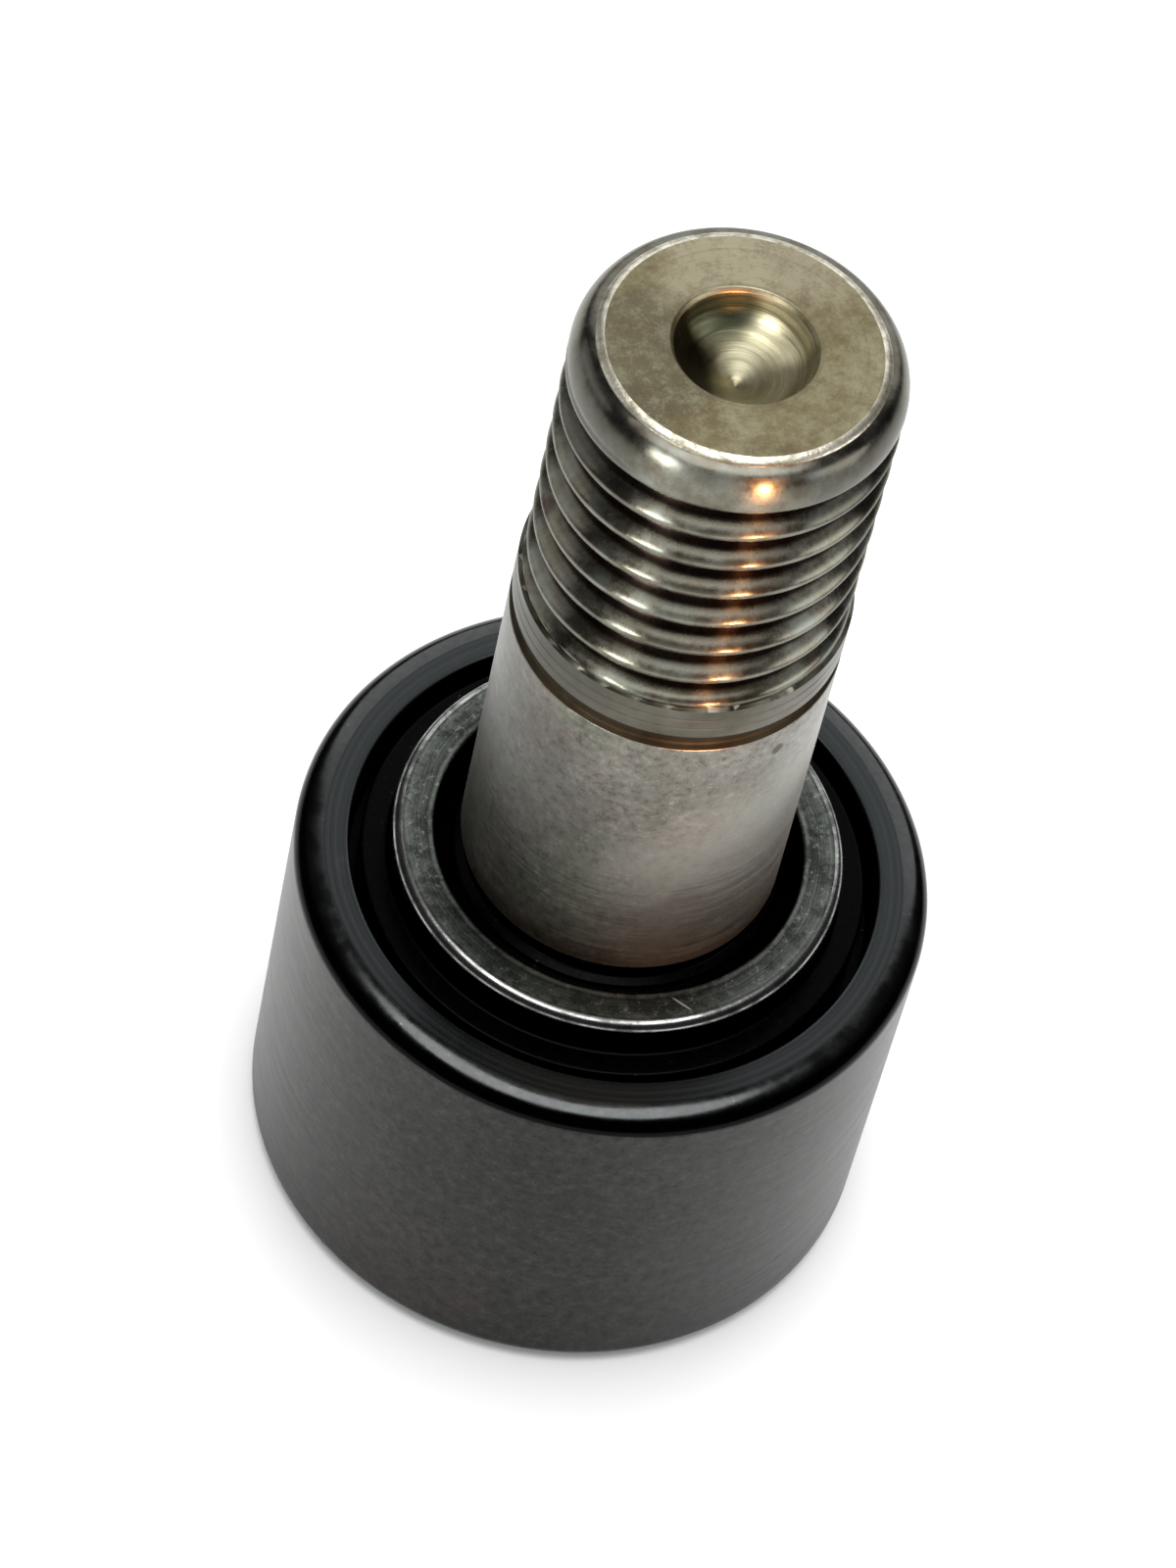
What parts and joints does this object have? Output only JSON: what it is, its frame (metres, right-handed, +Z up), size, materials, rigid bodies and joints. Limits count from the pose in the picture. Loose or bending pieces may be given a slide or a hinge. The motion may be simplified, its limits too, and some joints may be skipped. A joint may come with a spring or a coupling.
{
  "type": "cam follower",
  "caption": "Stud-type track roller: a thick black roller turns on needle rollers round a plain ground shank with a threaded end, kept on by a pressed end plate.",
  "frame": {"origin": "centre of the stud head's flat face, on the roller's axis", "axes": "+Z up the stud, from its head towards the threaded end; +X along the screwdriver slot in the head"},
  "size_m": [0.0158, 0.0158, 0.031],
  "materials": {
    "ground_steel": "hardened steel with a ground satin shank, a dull olive-brown tarnish on the thread and end face",
    "black_oxide_roller": "black-oxided bearing steel, satin ground tread and smooth rounded corners",
    "black_oxide_plate": "black-oxided steel with a silver-grey ground clamping face",
    "needle_steel": "polished bearing steel, lightly greased"
  },
  "bodies": {
    "stud": {"stud": "ground_steel", "end_plate": "black_oxide_plate"},
    "outer_ring": {"outer_ring": "black_oxide_roller"},
    "needle_roller_01": {"needle_roller_01": "needle_steel"},
    "needle_roller_02": {"needle_roller_02": "needle_steel"},
    "needle_roller_03": {"needle_roller_03": "needle_steel"},
    "needle_roller_04": {"needle_roller_04": "needle_steel"},
    "needle_roller_05": {"needle_roller_05": "needle_steel"},
    "needle_roller_06": {"needle_roller_06": "needle_steel"},
    "needle_roller_07": {"needle_roller_07": "needle_steel"},
    "needle_roller_08": {"needle_roller_08": "needle_steel"},
    "needle_roller_09": {"needle_roller_09": "needle_steel"},
    "needle_roller_10": {"needle_roller_10": "needle_steel"},
    "needle_roller_11": {"needle_roller_11": "needle_steel"},
    "needle_roller_12": {"needle_roller_12": "needle_steel"},
    "needle_roller_13": {"needle_roller_13": "needle_steel"},
    "needle_roller_14": {"needle_roller_14": "needle_steel"},
    "needle_roller_15": {"needle_roller_15": "needle_steel"},
    "needle_roller_16": {"needle_roller_16": "needle_steel"},
    "needle_roller_17": {"needle_roller_17": "needle_steel"},
    "needle_roller_18": {"needle_roller_18": "needle_steel"},
    "needle_roller_19": {"needle_roller_19": "needle_steel"},
    "needle_roller_20": {"needle_roller_20": "needle_steel"}
  },
  "joints": [
    {"name": "outer_ring_spin", "type": "hinge", "parent": "stud", "child": "outer_ring", "pos_m": [0, 0, 0.00568], "axis": [0, 0, 1], "continuous": true},
    {"name": "needle_orbit", "type": "hinge", "parent": "stud", "child": "needle_roller_01", "pos_m": [0, 0, 0.00568], "axis": [0, 0, 1], "continuous": true},
    {"name": "needle_roller_02_spin", "type": "hinge", "parent": "needle_roller_01", "child": "needle_roller_02", "pos_m": [0.00459, 0.00234, 0.00585], "axis": [0, 0, 1], "continuous": true},
    {"name": "needle_roller_03_spin", "type": "hinge", "parent": "needle_roller_01", "child": "needle_roller_03", "pos_m": [0.00364, 0.00364, 0.00585], "axis": [0, 0, 1], "continuous": true},
    {"name": "needle_roller_04_spin", "type": "hinge", "parent": "needle_roller_01", "child": "needle_roller_04", "pos_m": [0.00234, 0.00459, 0.00585], "axis": [0, 0, 1], "continuous": true},
    {"name": "needle_roller_05_spin", "type": "hinge", "parent": "needle_roller_01", "child": "needle_roller_05", "pos_m": [0.00081, 0.00509, 0.00585], "axis": [0, 0, 1], "continuous": true},
    {"name": "needle_roller_06_spin", "type": "hinge", "parent": "needle_roller_01", "child": "needle_roller_06", "pos_m": [-0.00081, 0.00509, 0.00585], "axis": [0, 0, 1], "continuous": true},
    {"name": "needle_roller_07_spin", "type": "hinge", "parent": "needle_roller_01", "child": "needle_roller_07", "pos_m": [-0.00234, 0.00459, 0.00585], "axis": [0, 0, 1], "continuous": true},
    {"name": "needle_roller_08_spin", "type": "hinge", "parent": "needle_roller_01", "child": "needle_roller_08", "pos_m": [-0.00364, 0.00364, 0.00585], "axis": [0, 0, 1], "continuous": true},
    {"name": "needle_roller_09_spin", "type": "hinge", "parent": "needle_roller_01", "child": "needle_roller_09", "pos_m": [-0.00459, 0.00234, 0.00585], "axis": [0, 0, 1], "continuous": true},
    {"name": "needle_roller_10_spin", "type": "hinge", "parent": "needle_roller_01", "child": "needle_roller_10", "pos_m": [-0.00509, 0.00081, 0.00585], "axis": [0, 0, 1], "continuous": true},
    {"name": "needle_roller_11_spin", "type": "hinge", "parent": "needle_roller_01", "child": "needle_roller_11", "pos_m": [-0.00509, -0.00081, 0.00585], "axis": [0, 0, 1], "continuous": true},
    {"name": "needle_roller_12_spin", "type": "hinge", "parent": "needle_roller_01", "child": "needle_roller_12", "pos_m": [-0.00459, -0.00234, 0.00585], "axis": [0, 0, 1], "continuous": true},
    {"name": "needle_roller_13_spin", "type": "hinge", "parent": "needle_roller_01", "child": "needle_roller_13", "pos_m": [-0.00364, -0.00364, 0.00585], "axis": [0, 0, 1], "continuous": true},
    {"name": "needle_roller_14_spin", "type": "hinge", "parent": "needle_roller_01", "child": "needle_roller_14", "pos_m": [-0.00234, -0.00459, 0.00585], "axis": [0, 0, 1], "continuous": true},
    {"name": "needle_roller_15_spin", "type": "hinge", "parent": "needle_roller_01", "child": "needle_roller_15", "pos_m": [-0.00081, -0.00509, 0.00585], "axis": [0, 0, 1], "continuous": true},
    {"name": "needle_roller_16_spin", "type": "hinge", "parent": "needle_roller_01", "child": "needle_roller_16", "pos_m": [0.00081, -0.00509, 0.00585], "axis": [0, 0, 1], "continuous": true},
    {"name": "needle_roller_17_spin", "type": "hinge", "parent": "needle_roller_01", "child": "needle_roller_17", "pos_m": [0.00234, -0.00459, 0.00585], "axis": [0, 0, 1], "continuous": true},
    {"name": "needle_roller_18_spin", "type": "hinge", "parent": "needle_roller_01", "child": "needle_roller_18", "pos_m": [0.00364, -0.00364, 0.00585], "axis": [0, 0, 1], "continuous": true},
    {"name": "needle_roller_19_spin", "type": "hinge", "parent": "needle_roller_01", "child": "needle_roller_19", "pos_m": [0.00459, -0.00234, 0.00585], "axis": [0, 0, 1], "continuous": true},
    {"name": "needle_roller_20_spin", "type": "hinge", "parent": "needle_roller_01", "child": "needle_roller_20", "pos_m": [0.00509, -0.00081, 0.00585], "axis": [0, 0, 1], "continuous": true}
  ],
  "couplings": [
    {"joint": "needle_orbit", "follows": "outer_ring_spin", "ratio": 0.57705},
    {"joint": "needle_roller_02_spin", "follows": "outer_ring_spin", "ratio": 3.1675},
    {"joint": "needle_roller_03_spin", "follows": "outer_ring_spin", "ratio": 3.1675},
    {"joint": "needle_roller_04_spin", "follows": "outer_ring_spin", "ratio": 3.1675},
    {"joint": "needle_roller_05_spin", "follows": "outer_ring_spin", "ratio": 3.1675},
    {"joint": "needle_roller_06_spin", "follows": "outer_ring_spin", "ratio": 3.1675},
    {"joint": "needle_roller_07_spin", "follows": "outer_ring_spin", "ratio": 3.1675},
    {"joint": "needle_roller_08_spin", "follows": "outer_ring_spin", "ratio": 3.1675},
    {"joint": "needle_roller_09_spin", "follows": "outer_ring_spin", "ratio": 3.1675},
    {"joint": "needle_roller_10_spin", "follows": "outer_ring_spin", "ratio": 3.1675},
    {"joint": "needle_roller_11_spin", "follows": "outer_ring_spin", "ratio": 3.1675},
    {"joint": "needle_roller_12_spin", "follows": "outer_ring_spin", "ratio": 3.1675},
    {"joint": "needle_roller_13_spin", "follows": "outer_ring_spin", "ratio": 3.1675},
    {"joint": "needle_roller_14_spin", "follows": "outer_ring_spin", "ratio": 3.1675},
    {"joint": "needle_roller_15_spin", "follows": "outer_ring_spin", "ratio": 3.1675},
    {"joint": "needle_roller_16_spin", "follows": "outer_ring_spin", "ratio": 3.1675},
    {"joint": "needle_roller_17_spin", "follows": "outer_ring_spin", "ratio": 3.1675},
    {"joint": "needle_roller_18_spin", "follows": "outer_ring_spin", "ratio": 3.1675},
    {"joint": "needle_roller_19_spin", "follows": "outer_ring_spin", "ratio": 3.1675},
    {"joint": "needle_roller_20_spin", "follows": "outer_ring_spin", "ratio": 3.1675}
  ]
}
